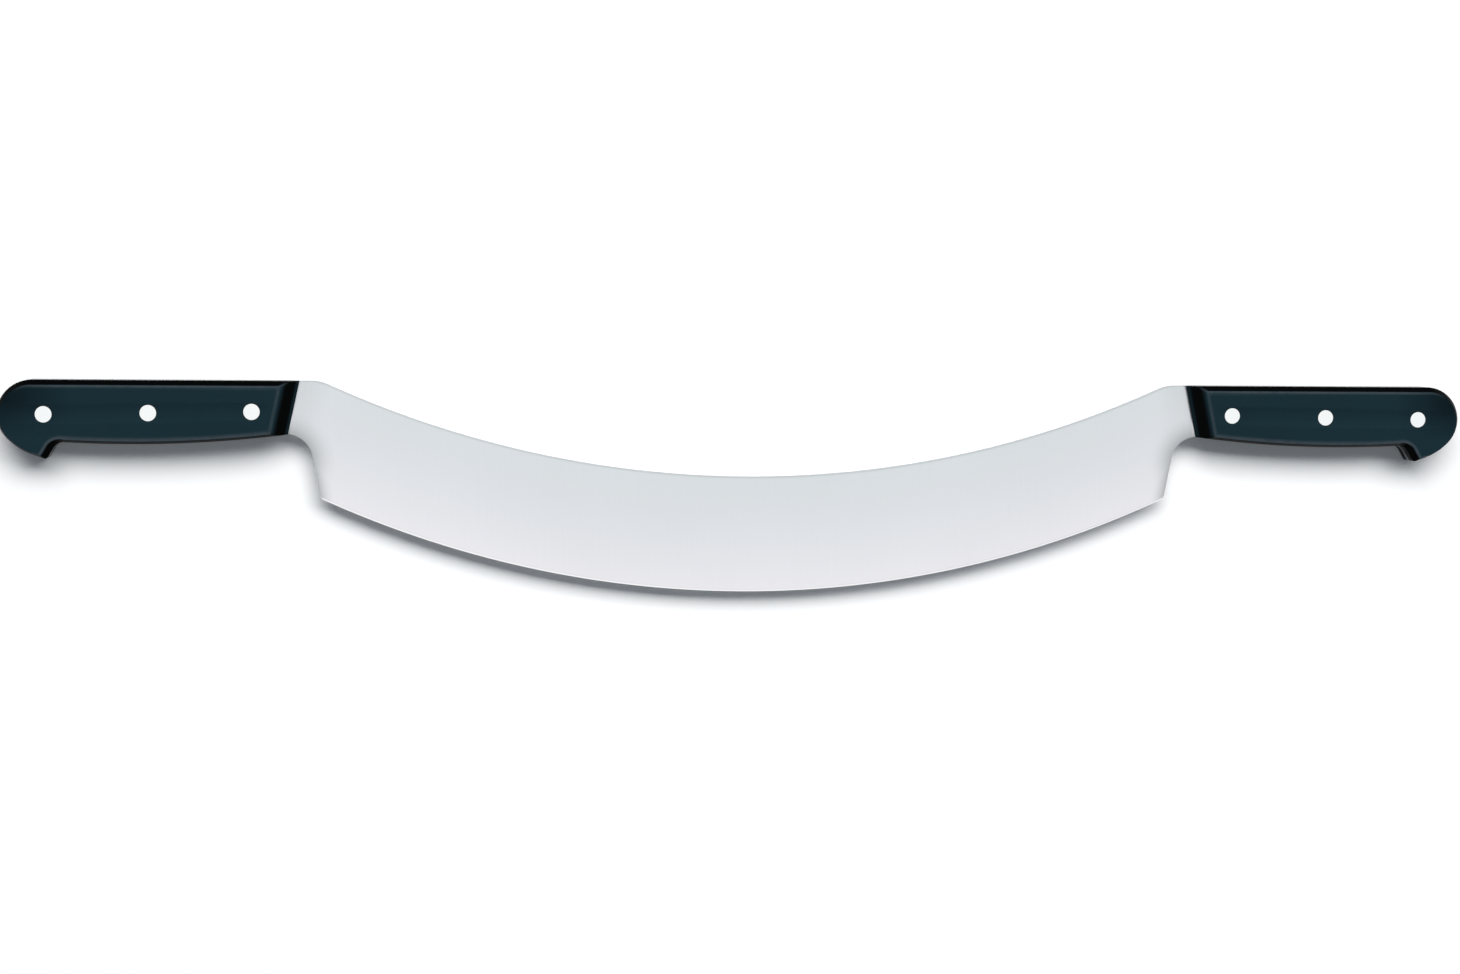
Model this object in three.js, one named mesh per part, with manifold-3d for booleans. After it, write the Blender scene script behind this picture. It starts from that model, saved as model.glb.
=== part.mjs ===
// Two-handled cheese knife: one crescent blade with a full tang at each end, a pair of moulded
// scales on each tang, and three two-piece cutler's rivets through each handle.
//
// Millimetres and degrees. The knife lies on its side: +X runs along its length, +Y points from
// the cutting edge to the spine, +Z points up out of the front face of the blade. The origin is
// on the surface that the knife lies on, under the middle of its outline.

import * as THREE from "three";
import { mergeVertices } from "three/addons/utils/BufferGeometryUtils.js";
import Module from "manifold-3d";

// Blade outline
const BLADE_LENGTH = 400; // bare steel between the handles, along the spine
const BLADE_WIDTH = 51.8; // spine to cutting edge
const SWEEP_RADIUS = 456.5; // the spine and the cutting edge are arcs of this one radius
const NECK_LENGTH = 9; // from a handle's front to the bend where the spine starts to sweep
const NECK_ROUNDING = 4; // how far the bend is rounded along each of its sides
const HEEL_SETBACK = 9; // from a handle's front to the heel of the cutting edge
const HEEL_ROUNDING = 1.8; // how far the heel's corner is rounded along each of its sides
const CHOIL_RADIUS = 12; // the hollow between the heel and the handle
const CHOIL_TILT = 6; // how steeply the hollow falls away from the handle

// Blade thickness
const TANG_THICKNESS = 3;
const SPINE_THICKNESS = 2.9; // along the sweep of the spine
const SHOULDER_THICKNESS = 0.6; // where the flat grind ends and the edge bevel starts
const EDGE_THICKNESS = 0.2; // at the cutting edge
const EDGE_BEVEL_WIDTH = 1.2;
const PLUNGE_LENGTH = 9; // the grind fades out to the full tang over this length
const PLUNGE_GAP = 1; // full thickness in front of the handle
const STONE_LIFT = 0.05; // how far the stone clears the tang

// Handle outline, which the tang and both scales share
const HANDLE_LENGTH = 128.7;
const FRONT_RAKE = 12; // lean of the handle's front end
const BELLY_RADIUS = 520;
const BELLY_DEPTH = 27.8; // back of the handle to the lowest point of the belly
const BELLY_LOW_POINT = 72; // from the handle's front to that lowest point
const BUTT_RADIUS = 15; // round end of the handle
const BUTT_TURN = 134; // how far the round end turns before it flattens
const BEAK_BACK_RADIUS = 29; // flatter curve that leads on to the beak
const BEAK_BACK_TURN = 27;
const BEAK_DEPTH = 34.5; // back of the handle to the corner of the beak
const BEAK_SLOPE = 60; // slope of the beak's inner side
const BEAK_ROUNDING = 1.4; // how far the beak's corner is rounded along each of its sides
const BEAK_LEAST_ROUNDING = 0.28; // what is left of that where the bevels meet the face
const HOOK_RADIUS = 5; // hollow between the beak and the belly

// Scales
const SCALE_THICKNESS = 6;
const BEVEL_DEPTH = 2; // how far down the bevels start, except the front one
const BACK_BEVEL = 2.3; // width of the bevel along the back
const BELLY_BEVEL = 1.1; // along the belly
const HOOK_BEVEL = 2.9; // along the beak's inner side
const BUTT_BEVEL = 0.7; // round the butt
const FRONT_BEVEL = 7.2; // long bevel that slopes down to the blade
const FRONT_WALL = 1.5; // upright wall left below the long bevel
const FACE_SOFTENING = 0.4; // breaks the edge between the bevels and the face

// Rivets
const NECK_RIVET_INSET = 20.5; // from the handle's front to the first rivet
const BUTT_RIVET_INSET = 19.8; // from the handle's round end to the last rivet
const RIVET_DEPTH = 13.5; // back of the handle to the first rivet
const RIVET_DROP = 0.7; // each rivet lies this much lower than the one before it
const HEAD_DIAMETER = 7.3;
const HEAD_THICKNESS = 1.6;
const HEAD_RECESS = 0.05; // the ground heads lie just below the scale's face
const SOCKET_DIAMETER = 5;
const POST_DIAMETER = 3.2;
const POST_END_GAP = 1; // space left in the socket beyond the post
const SOCKET_END_GAP = 0.6; // space left between the socket and the post's head
const RIVET_CLEARANCE = 0.1; // radial gap of the rivet in its holes and of the post in its socket
const SEAT_GAP = 0.05; // gap under a head on its seat

// Fineness of the facets
const SWEEP_STEPS = 16; // along each half of the blade's arcs
const GRIND_ROWS = 4; // across the flat grind
const PLUNGE_STEPS = 8; // along each plunge
const BUTT_STEPS = 12;
const CURVE_STEPS = 6; // round each small curve
const BELLY_STEPS = 8;
const ROUND_SIDES = 24; // round each rivet and its hole
const CUT_MARGIN = 2; // how far a cutting tool runs past what it cuts

const PLACES = ["neck", "middle", "butt"]; // rivets, from the blade to the handle's end

const STEEL = new THREE.MeshStandardMaterial({ color: 0xd9dde0, roughness: 0.35, metalness: 1 });
const RIVET_STEEL = new THREE.MeshStandardMaterial({ color: 0xf0f2f3, roughness: 0.2, metalness: 1 });
const SCALE_PLASTIC = new THREE.MeshStandardMaterial({ color: 0x1c2c34, roughness: 0.45, metalness: 0 });

const { degToRad, lerp, smoothstep } = THREE.MathUtils;
const wasm = await Module();
wasm.setup();

// Plane geometry. Outlines are lists of points with y = 0 at the lowest point of the spine.

const at = (x, y) => new THREE.Vector2(x, y);
const along = (point, direction, distance) => point.clone().addScaledVector(direction, distance);
const polar = (centre, radius, angle) =>
  at(centre.x + radius * Math.cos(angle), centre.y + radius * Math.sin(angle));
const angleFrom = (centre, point) => Math.atan2(point.y - centre.y, point.x - centre.x);

// Points along an arc, whose radius may run evenly from one value to another.
function arc(centre, radius, from, to, steps, lastRadius = radius) {
  return Array.from({ length: steps + 1 }, (_, i) =>
    polar(centre, lerp(radius, lastRadius, i / steps), lerp(from, to, i / steps)),
  );
}

// A corner rounded by a quadratic curve that starts and ends a set distance from it.
function rounded(corner, towardsBefore, towardsAfter, cutBack, steps) {
  const start = along(corner, towardsBefore, cutBack);
  const end = along(corner, towardsAfter, cutBack);
  return new THREE.QuadraticBezierCurve(start, corner, end).getPoints(steps);
}

// Where a line meets a circle: at its first crossing, or at its last.
function meetCircle(point, direction, centre, radius, last) {
  const offset = point.clone().sub(centre);
  const half = offset.dot(direction);
  const root = Math.sqrt(half * half - offset.lengthSq() + radius * radius);
  return along(point, direction, last ? root - half : -root - half);
}

function meetLine(point, direction, otherPoint, otherDirection) {
  const gap = otherPoint.clone().sub(point);
  return along(point, direction, gap.cross(otherDirection) / direction.cross(otherDirection));
}

// Blade arcs

const spineY = (x) => SWEEP_RADIUS - Math.sqrt(SWEEP_RADIUS ** 2 - x ** 2);
const edgeY = (x) => spineY(x) - BLADE_WIDTH;
const sweepAngle = (x) => Math.asin(x / SWEEP_RADIUS);

const handleFront = BLADE_LENGTH / 2;
const bendX = handleFront - NECK_LENGTH;
const heelX = handleFront - HEEL_SETBACK;
const backY = spineY(bendX); // straight back of both handles
const rake = Math.tan(degToRad(FRONT_RAKE));
const frontX = (y) => handleFront + (backY - y) * rake;

// Handle outline, drawn for the handle on +X. Each curve keeps its centre when the outline is
// inset, so outlines at different insets match point for point.

const buttCentre = at(handleFront + HANDLE_LENGTH - BUTT_RADIUS, backY - BUTT_RADIUS);
const buttEnd = degToRad(90 - BUTT_TURN);
const beakBackCentre = polar(buttCentre, BUTT_RADIUS - BEAK_BACK_RADIUS, buttEnd);
const beakBackEnd = buttEnd - degToRad(BEAK_BACK_TURN);
const beakBackLine = polar(at(0, 0), 1, beakBackEnd - Math.PI / 2);
const beakSlope = degToRad(BEAK_SLOPE);
const beakInnerLine = polar(at(0, 0), 1, Math.PI - beakSlope);
const beakInward = polar(at(0, 0), 1, Math.PI / 2 - beakSlope);
const bellyCentre = at(handleFront + BELLY_LOW_POINT, backY - BELLY_DEPTH + BELLY_RADIUS);

const beakCorner = meetLine(
  polar(beakBackCentre, BEAK_BACK_RADIUS, beakBackEnd),
  beakBackLine,
  at(0, backY - BEAK_DEPTH),
  at(1, 0),
);
const hookCentre = meetCircle(
  along(beakCorner, beakInward, -HOOK_RADIUS),
  beakInnerLine,
  bellyCentre,
  BELLY_RADIUS + HOOK_RADIUS,
  false,
);

// Anticlockwise from the lower front corner, under the belly and round the butt, to the upper one.
// The outline is inset by a share of each bevel's width, and by a distance at the front.
function handleOutline(share, frontInset) {
  const back = share * BACK_BEVEL;
  const belly = share * BELLY_BEVEL;
  const hook = share * HOOK_BEVEL;
  const butt = share * BUTT_BEVEL;
  const frontTop = at(handleFront + frontInset + back * rake, backY - back);
  const down = at(rake, -1).normalize();
  const frontLow = meetCircle(frontTop, down, bellyCentre, BELLY_RADIUS - belly, true);
  const corner = meetLine(
    polar(beakBackCentre, BEAK_BACK_RADIUS - butt, beakBackEnd),
    beakBackLine,
    along(beakCorner, beakInward, hook),
    beakInnerLine,
  );
  const cutBack = lerp(BEAK_ROUNDING, BEAK_LEAST_ROUNDING, Math.min(share, 1));
  const bellyStart = angleFrom(bellyCentre, frontLow);
  const bellyEnd = angleFrom(bellyCentre, hookCentre);
  return [
    ...arc(bellyCentre, BELLY_RADIUS - belly, bellyStart, bellyEnd, BELLY_STEPS),
    ...arc(
      hookCentre,
      HOOK_RADIUS + belly,
      angleFrom(hookCentre, bellyCentre),
      Math.PI / 2 - beakSlope,
      CURVE_STEPS,
      HOOK_RADIUS + hook,
    ).slice(1),
    ...rounded(corner, beakInnerLine, beakBackLine.clone().negate(), cutBack, CURVE_STEPS),
    ...arc(beakBackCentre, BEAK_BACK_RADIUS - butt, beakBackEnd, buttEnd, CURVE_STEPS),
    ...arc(
      buttCentre,
      BUTT_RADIUS - butt,
      buttEnd,
      Math.PI / 2,
      BUTT_STEPS,
      BUTT_RADIUS - back,
    ).slice(1),
    frontTop,
  ];
}

// Right half of the steel's outline, from the middle of the edge round the tang to the spine.
function halfBladeOutline() {
  const tang = handleOutline(0, 0);
  const frontLow = tang[0];
  const tilt = degToRad(CHOIL_TILT);
  const choilCentre = along(frontLow, at(Math.sin(tilt), -Math.cos(tilt)), CHOIL_RADIUS);

  const heel = at(heelX, edgeY(heelX));
  const heelTangent = polar(at(0, 0), 1, sweepAngle(heelX));
  const towardsHeel = angleFrom(choilCentre, heel);
  const spread = Math.acos(CHOIL_RADIUS / choilCentre.distanceTo(heel));
  const choilStart = towardsHeel - spread + 2 * Math.PI;
  const choilEnd = angleFrom(choilCentre, frontLow);
  const choilLine = polar(choilCentre, CHOIL_RADIUS, choilStart).sub(heel).normalize();

  const sweepCentre = at(0, SWEEP_RADIUS);
  const edgeCentre = at(0, SWEEP_RADIUS - BLADE_WIDTH);
  const bend = at(bendX, backY);
  const bendTangent = polar(at(0, 0), 1, sweepAngle(bendX) + Math.PI);
  const edgeSweep = sweepAngle(heelX - HEEL_ROUNDING * heelTangent.x);
  const spineSweep = sweepAngle(bendX + NECK_ROUNDING * bendTangent.x);
  const lowest = -Math.PI / 2;
  return [
    ...arc(edgeCentre, SWEEP_RADIUS, lowest, lowest + edgeSweep, SWEEP_STEPS).slice(0, -1),
    ...rounded(heel, heelTangent.clone().negate(), choilLine, HEEL_ROUNDING, CURVE_STEPS),
    ...arc(choilCentre, CHOIL_RADIUS, choilStart, choilEnd, CURVE_STEPS).slice(0, -1),
    ...tang,
    ...rounded(bend, at(1, 0), bendTangent, NECK_ROUNDING, CURVE_STEPS),
    ...arc(sweepCentre, SWEEP_RADIUS, lowest + spineSweep, lowest, SWEEP_STEPS).slice(1),
  ];
}

// Solids

// Joins rings of matching points into a closed skin. The flat end caps are filled in the plane
// that the function flatten maps them to.
function loft(rings, flatten) {
  const count = rings[0].length;
  const faces = [];
  for (let ring = 0; ring + 1 < rings.length; ring++) {
    for (let i = 0; i < count; i++) {
      const a = ring * count + i;
      const b = ring * count + ((i + 1) % count);
      faces.push(a, b, b + count, a, b + count, a + count);
    }
  }
  const last = (rings.length - 1) * count;
  for (const [a, b, c] of THREE.ShapeUtils.triangulateShape(rings[0].map(flatten), [])) {
    faces.push(c, b, a);
  }
  for (const [a, b, c] of THREE.ShapeUtils.triangulateShape(rings.at(-1).map(flatten), [])) {
    faces.push(last + a, last + b, last + c);
  }
  return new THREE.BufferGeometry().setFromPoints(rings.flat()).setIndex(faces);
}

// A turned shape about Z, from a profile of [radius, height] pairs that runs from its foot up.
function turned(profile) {
  const points = profile.map(([radius, height]) => at(radius, height));
  return new THREE.LatheGeometry(points, ROUND_SIDES).rotateX(Math.PI / 2);
}

function solidOf(geometry) {
  const bare = geometry.clone();
  bare.deleteAttribute("normal");
  bare.deleteAttribute("uv");
  const merged = mergeVertices(bare);
  return new wasm.Manifold(
    new wasm.Mesh({
      numProp: 3,
      vertProperties: new Float32Array(merged.attributes.position.array),
      triVerts: new Uint32Array(merged.index.array),
    }),
  );
}

function geometryOf(solid) {
  const { vertProperties, triVerts } = solid.getMesh();
  const geometry = new THREE.BufferGeometry();
  geometry.setAttribute("position", new THREE.BufferAttribute(vertProperties, 3));
  geometry.setIndex(new THREE.BufferAttribute(triVerts, 1));
  geometry.computeVertexNormals();
  return geometry;
}

const cut = (geometry, tools) =>
  geometryOf(tools.reduce((left, tool) => left.subtract(solidOf(tool)), solidOf(geometry)));

// Blade

const tangFace = TANG_THICKNESS / 2;
const holeRadius = SOCKET_DIAMETER / 2 + RIVET_CLEARANCE;
const firstRivet = handleFront + NECK_RIVET_INSET;
const lastRivet = handleFront + HANDLE_LENGTH - BUTT_RIVET_INSET;
const rivetCentres = PLACES.map((_, i) =>
  at(lerp(firstRivet, lastRivet, i / (PLACES.length - 1)), backY - RIVET_DEPTH - i * RIVET_DROP),
);

// Half the thickness that the grind leaves at a distance from the cutting edge.
function groundHalf(fromEdge) {
  const bevel = THREE.MathUtils.clamp(fromEdge / EDGE_BEVEL_WIDTH, 0, 1);
  const flat = Math.max(0, fromEdge - EDGE_BEVEL_WIDTH) / (BLADE_WIDTH - EDGE_BEVEL_WIDTH);
  const shoulder = lerp(EDGE_THICKNESS, SHOULDER_THICKNESS, bevel);
  return (shoulder + flat * (SPINE_THICKNESS - SHOULDER_THICKNESS)) / 2;
}

// The stone's surface over one point of the blade: the grind, lifting clear of the tang's face
// as it nears the handle.
function stoneHeight(x, fromEdge) {
  const fromHandle = frontX(edgeY(x) + fromEdge) - Math.abs(x);
  const plunge = 1 - smoothstep(fromHandle, PLUNGE_GAP, PLUNGE_GAP + PLUNGE_LENGTH);
  return lerp(groundHalf(fromEdge), tangFace + STONE_LIFT, plunge);
}

// What the grinding stone takes off the front face: a lofted block whose underside is the grind.
function grindingStone() {
  const plungeStart = heelX - PLUNGE_LENGTH;
  const plungeEnd = frontX(backY - BELLY_DEPTH);
  const half = [];
  for (let i = 1; i < SWEEP_STEPS; i++) half.push((plungeStart * i) / SWEEP_STEPS);
  for (let i = 0; i <= PLUNGE_STEPS; i++) half.push(lerp(plungeStart, plungeEnd, i / PLUNGE_STEPS));
  const stations = [...half.map((x) => -x).reverse(), 0, ...half];

  const rows = [-CUT_MARGIN, 0];
  for (let i = 0; i <= GRIND_ROWS; i++) rows.push(lerp(EDGE_BEVEL_WIDTH, BLADE_WIDTH, i / GRIND_ROWS));
  rows.push(BLADE_WIDTH + CUT_MARGIN);

  const roof = tangFace + CUT_MARGIN;
  const rings = stations.map((x) => [
    ...rows.map((fromEdge) => new THREE.Vector3(x, edgeY(x) + fromEdge, stoneHeight(x, fromEdge))),
    new THREE.Vector3(x, edgeY(x) + rows.at(-1), roof),
    new THREE.Vector3(x, edgeY(x) + rows[0], roof),
  ]);
  return loft(rings, (point) => at(point.y, point.z));
}

function bladeGeometry() {
  const half = halfBladeOutline();
  const mirrored = half.slice(1, -1).reverse();
  const outline = [...half, ...mirrored.map((point) => at(-point.x, point.y))];
  const plate = new THREE.ExtrudeGeometry(new THREE.Shape(outline), {
    depth: TANG_THICKNESS,
    bevelEnabled: false,
  }).translate(0, 0, -tangFace);

  const frontStone = grindingStone();
  const backStone = frontStone.clone().rotateY(Math.PI);
  const drill = turned([
    [0, -TANG_THICKNESS],
    [holeRadius, -TANG_THICKNESS],
    [holeRadius, TANG_THICKNESS],
    [0, TANG_THICKNESS],
  ]);
  const holes = [-1, 1].flatMap((side) =>
    rivetCentres.map((centre) => drill.clone().translate(side * centre.x, centre.y, 0)),
  );
  return cut(plate, [frontStone, backStone, ...holes]);
}

// Scale: the handle's outline lofted outwards from the tang, drilled for the rivets.
function scaleGeometry() {
  const bevelStart = SCALE_THICKNESS - BEVEL_DEPTH;
  const frontSlope = FRONT_BEVEL / (SCALE_THICKNESS - FRONT_WALL);
  const softStart = SCALE_THICKNESS - FACE_SOFTENING;
  const levels = [0, FRONT_WALL, bevelStart, softStart].sort((a, b) => a - b);
  const rings = levels.map((height) => ({
    height,
    share: Math.max(0, height - bevelStart) / BEVEL_DEPTH,
    frontInset: Math.max(0, height - FRONT_WALL) * frontSlope,
  }));
  rings.push({
    height: SCALE_THICKNESS,
    share: 1 + FACE_SOFTENING / BEVEL_DEPTH,
    frontInset: FRONT_BEVEL + FACE_SOFTENING,
  });
  const body = loft(
    rings.map(({ height, share, frontInset }) =>
      handleOutline(share, frontInset).map(({ x, y }) => new THREE.Vector3(x, y, height)),
    ),
    (point) => at(point.x, point.y),
  );

  const seat = SCALE_THICKNESS - HEAD_RECESS - HEAD_THICKNESS - SEAT_GAP;
  const headHole = HEAD_DIAMETER / 2 + RIVET_CLEARANCE;
  const drill = turned([
    [0, -CUT_MARGIN],
    [holeRadius, -CUT_MARGIN],
    [holeRadius, seat],
    [headHole, seat],
    [headHole, SCALE_THICKNESS + CUT_MARGIN],
    [0, SCALE_THICKNESS + CUT_MARGIN],
  ]);
  const holes = rivetCentres.map((centre) => drill.clone().translate(centre.x, centre.y, 0));
  return cut(body, holes).translate(0, 0, tangFace);
}

// Rivet: a headed post from the front, pressed into a headed socket from the back.

const headTop = tangFace + SCALE_THICKNESS - HEAD_RECESS;
const headSeat = headTop - HEAD_THICKNESS;
const socketFloor = -headSeat;
const headRadius = HEAD_DIAMETER / 2;
const postRadius = POST_DIAMETER / 2;
const boreRadius = postRadius + RIVET_CLEARANCE;

function postGeometry() {
  return turned([
    [0, socketFloor + POST_END_GAP],
    [postRadius, socketFloor + POST_END_GAP],
    [postRadius, headSeat],
    [headRadius, headSeat],
    [headRadius, headTop],
    [0, headTop],
  ]);
}

function socketGeometry() {
  return turned([
    [0, -headTop],
    [headRadius, -headTop],
    [headRadius, -headSeat],
    [SOCKET_DIAMETER / 2, -headSeat],
    [SOCKET_DIAMETER / 2, headSeat - SOCKET_END_GAP],
    [boreRadius, headSeat - SOCKET_END_GAP],
    [boreRadius, socketFloor],
    [0, socketFloor],
  ]);
}

// Assembly

function piece(name, geometry, material) {
  const mesh = new THREE.Mesh(geometry, material);
  mesh.name = name;
  return mesh;
}

// A handle's scales and rivets, placed for the handle on +X.
function handle(side) {
  const group = new THREE.Group();
  const scale = scaleGeometry();
  const back = piece(`${side}_back_scale`, scale, SCALE_PLASTIC);
  back.scale.z = -1;
  group.add(piece(`${side}_front_scale`, scale, SCALE_PLASTIC), back);
  PLACES.forEach((place, i) => {
    const rivet = new THREE.Group();
    rivet.position.set(rivetCentres[i].x, rivetCentres[i].y, 0);
    rivet.add(
      piece(`${side}_${place}_rivet_post`, postGeometry(), RIVET_STEEL),
      piece(`${side}_${place}_rivet_socket`, socketGeometry(), RIVET_STEEL),
    );
    group.add(rivet);
  });
  return group;
}

const knife = new THREE.Group();
const leftHandle = handle("left");
leftHandle.scale.x = -1;
knife.add(piece("blade", bladeGeometry(), STEEL), leftHandle, handle("right"));

// The middle of the outline comes to the origin, and the back scales to the surface below.
const outlineMiddle = (backY - BLADE_WIDTH) / 2;
knife.position.set(0, -outlineMiddle, tangFace + SCALE_THICKNESS);

const part = new THREE.Group();
part.add(knife);

export default part;
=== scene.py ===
"""Looks of a two-handled cheese knife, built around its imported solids.

Metres and radians, in the frame of the solids: +X along the knife, +Y from the cutting edge to the
spine, +Z up out of the front face. Outlines are worked out in the plane of the blade, with y = 0
at the lowest point of the spine, and moved into that frame at the end.
"""

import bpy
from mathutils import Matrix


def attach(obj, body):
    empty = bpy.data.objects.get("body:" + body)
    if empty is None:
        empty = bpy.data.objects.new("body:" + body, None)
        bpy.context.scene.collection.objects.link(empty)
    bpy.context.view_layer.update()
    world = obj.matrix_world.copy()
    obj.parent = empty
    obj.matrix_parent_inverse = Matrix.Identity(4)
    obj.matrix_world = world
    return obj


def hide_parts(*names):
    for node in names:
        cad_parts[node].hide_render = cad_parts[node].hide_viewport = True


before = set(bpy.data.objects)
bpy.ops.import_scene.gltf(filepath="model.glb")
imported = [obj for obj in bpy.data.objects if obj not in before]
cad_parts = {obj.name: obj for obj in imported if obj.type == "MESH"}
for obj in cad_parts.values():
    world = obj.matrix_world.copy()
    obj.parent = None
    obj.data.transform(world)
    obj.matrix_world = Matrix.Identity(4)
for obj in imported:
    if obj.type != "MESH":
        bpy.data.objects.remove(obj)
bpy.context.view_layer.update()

import math

import bpy
import numpy as np
from bpy.props import FloatProperty, FloatVectorProperty, PointerProperty
from mathutils import Matrix, Vector
from mathutils.geometry import tessellate_polygon

bl_info = {
    "name": "Two-handled cheese knife",
    "version": (1, 0, 0),
    "blender": (4, 5, 0),
    "location": "3D View > Sidebar > Knife",
    "description": "Builds a crescent blade, riveted handles and a plain studio",
    "category": "Add Mesh",
}

PLACES = ("neck", "middle", "butt")
SIDES = {"left": -1.0, "right": 1.0}
FACES = {"front": 1.0, "back": -1.0}
UP = math.pi / 2

# Points along the sides of a scale
BELLY_STEPS = 60
HOOK_STEPS = 16
INNER_STEPS = 5
TIP_STEPS = 10
SWELL_STEPS = 18
BUTT_STEPS = 48
BACK_STEPS = 60
FRONT_STEPS = 24

# Points along the blade's long arcs, its choil and its small curves
SWEEP_STEPS = 200
CHOIL_STEPS = 24
CURVE_STEPS = 10

# Stations along the blade lie closer from before the heel to behind the neck, and at the butt
HEEL_LEAD = 0.013
NECK_TRAIL = 0.014
BEAK_LEAD = 0.03
BUTT_LEAD = 0.012

# The blade's round ends stop this short of a point, so that the last station has a height
END_TRIM = 0.000005

# Rows across the blade, in widths of the edge bevel and of the spine's rim
EDGE_ROWS = np.array([0.0, 0.25, 0.5, 0.75, 0.96, 1.04, 1.33])
SPINE_ROWS = np.array([2.0, 1.0, 0.65, 0.35, 0.15, 0.03, 0.0])

# The part of a rim's quarter circle that is kept, and the room round a rivet hole, in its radii
RIM_SHARE = 0.98
HOLE_ROOM = 1.25

# How far the blade thins at the choil, and how slowly that fades from the hollow
CHOIL_SHARE = 0.75
HOLLOW_SHARE = 0.6

# Where the steel's finishes, painted glint and painted shade fade, in metres from the cutting edge,
# the handle and the spine, and how much painted shade lies on its neck and on its spine's rim
POLISH_GLINT_FADE = (0.0003, 0.0008)
BARE_FADE = (-0.001, 0.001)
TANG_FADE = (0.001, 0.003)
NECK_FADE = (-0.016, -0.001)
NECK_SHADE = 0.115
SPINE_FADE = (0.0002, 0.0007)
SPINE_SHADE = 0.5
FINE_POWER = 1.6

# Where the rubbed line's painted highlight and the slate begin and end, as shares of the softened
# edge's height, and in metres from the face's front end and down the mitre
RUBBED_HIGHLIGHT = (0.5, 0.85)
SLATE = (0.4, 0.75)
FRONT_FADE = (0.0034, 0.0008)
MITRE = 0.0016

# Where the slate shows again through the bevel's painted shade along the foot of the front bevel,
# in metres of inset, and how much
FOOT_FADE = (0.0017, 0.0008)
FOOT_SLATE = 0.55

# How strong the rubbed line's painted highlight is along each edge of a scale
BELLY_HIGHLIGHT = 1.3
BEAK_HIGHLIGHT = 0.9
BACK_HIGHLIGHT = 0.95
FRONT_HIGHLIGHT = 0.65
MITRE_HIGHLIGHT = 0.55

# How many times wider the rubbed line's painted highlight is along the belly
BELLY_GLOW = 3.0

# Points over which the rubbed line's painted highlight fades past the beak, and comes back at the
# start of the back
TIP_FADE = 4
BACK_FADE = (14, 6)

# Small breaks of the edges of bores and posts, and the height of a head's dome
EDGE_BREAK = 0.0001
DOME = 0.00002

# Triangles of less area than this, in square metres, are left out where a face is filled
LEAST_AREA = 1e-13

# Grain of the steel, the rivets and the plastic, in lines in each metre along x, y and z
GRIND_LINES = (2600, 60, 60)
RIVET_LINES = (400, 4000, 400)
MOULD_LINES = (1500, 1500, 1500)

# The painted shade on the face at the butt: where it begins and ends, from the butt's centre along
# the handle and towards its back, and what is left of the colour there
SHADE_ALONG = (-0.016, 0.012)
SHADE_ACROSS = (-0.01, 0.006)
BUTT_SHADE = 0.33

# The studio: how bright polished metal sees the room from low to high, where the soft light and
# the camera stand, and the directions of the camera's right, upper and rear side
ROOM_RISE = (0.1, 0.93)
ROOM_LEVEL = (0.35, 1.0)
KEY_PLACE = (0.9, 5.0, 6.0)
CAMERA_PLACE = (-0.16493, 0.08386, 1.19356)
CAMERA_AXES = (
    (0.991549, 0.009692, 0.129367),
    (-0.000562, 0.997517, -0.070424),
    (-0.129728, 0.069756, 0.989093),
)


def length(name, default, description):
    return FloatProperty(
        name=name, description=description, default=default, min=0.0, precision=5,
        subtype="DISTANCE", unit="LENGTH",
    )


def angle(name, degrees, description):
    return FloatProperty(
        name=name, description=description, default=math.radians(degrees),
        subtype="ANGLE", unit="ROTATION",
    )


def colour(name, default, description):
    return FloatVectorProperty(
        name=name, description=description, default=default, min=0.0, max=1.0,
        size=3, subtype="COLOR",
    )


class BladeSettings(bpy.types.PropertyGroup):
    """Sizes and colours of the steel."""

    bare: length("Bare length", 0.4, "Steel between the handles, along the spine")
    width: length("Width", 0.0518, "Spine to cutting edge")
    sweep: length("Sweep radius", 0.4565, "Radius of the spine and of the cutting edge")
    neck: length("Neck", 0.009, "From a handle's front to the bend of the spine")
    neck_rounding: length("Neck rounding", 0.004, "How far the bend is rounded")
    heel: length("Heel setback", 0.009, "From a handle's front to the heel")
    heel_rounding: length("Heel rounding", 0.0018, "How far the heel's corner is rounded")
    choil_radius: length("Choil radius", 0.012, "Hollow between the heel and the handle")
    choil_tilt: angle("Choil tilt", 6, "How steeply the hollow falls from the handle")
    choil_fall: length("Choil fall", 0.0068, "Width of the rounding along the hollow")
    tang: length("Tang thickness", 0.003, "Full thickness between the scales")
    spine: length("Spine thickness", 0.0029, "Thickness along the sweep of the spine")
    shoulder: length("Shoulder thickness", 0.0006, "Thickness where the edge bevel starts")
    edge: length("Edge thickness", 0.0002, "Thickness at the cutting edge")
    bevel: length("Edge bevel", 0.0012, "Width of the edge bevel")
    plunge: length("Plunge", 0.009, "The grind fades to the full tang over this length")
    plunge_gap: length("Plunge gap", 0.001, "Full thickness in front of the handle")
    rim: length("Rim rounding", 0.00015, "Rounding of the spine's two edges")
    steel: colour("Steel", (0.735, 0.775, 0.8), "Satin steel along the spine")
    fine: colour("Fine steel", (0.875, 0.867, 0.907), "Finer satin towards the cutting edge")
    # Painted shade: a darker colour that stands for the darker reflection of the rounded choil and
    # spine rim
    rounded: colour("Rounded steel", (0.47, 0.49, 0.5), "Rounding of the choil and of the spine")
    # Colour of the unpolished tang, also laid on the necks near the handles as painted shade
    dull_and_neck_shade: colour("Dull steel", (0.2, 0.205, 0.21), "Unpolished tang between the scales")
    # Painted glint: a white colour on the polished edge bevel
    polish_glint: colour("Polish", (1.0, 1.0, 1.0), "Polished edge bevel")


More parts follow.
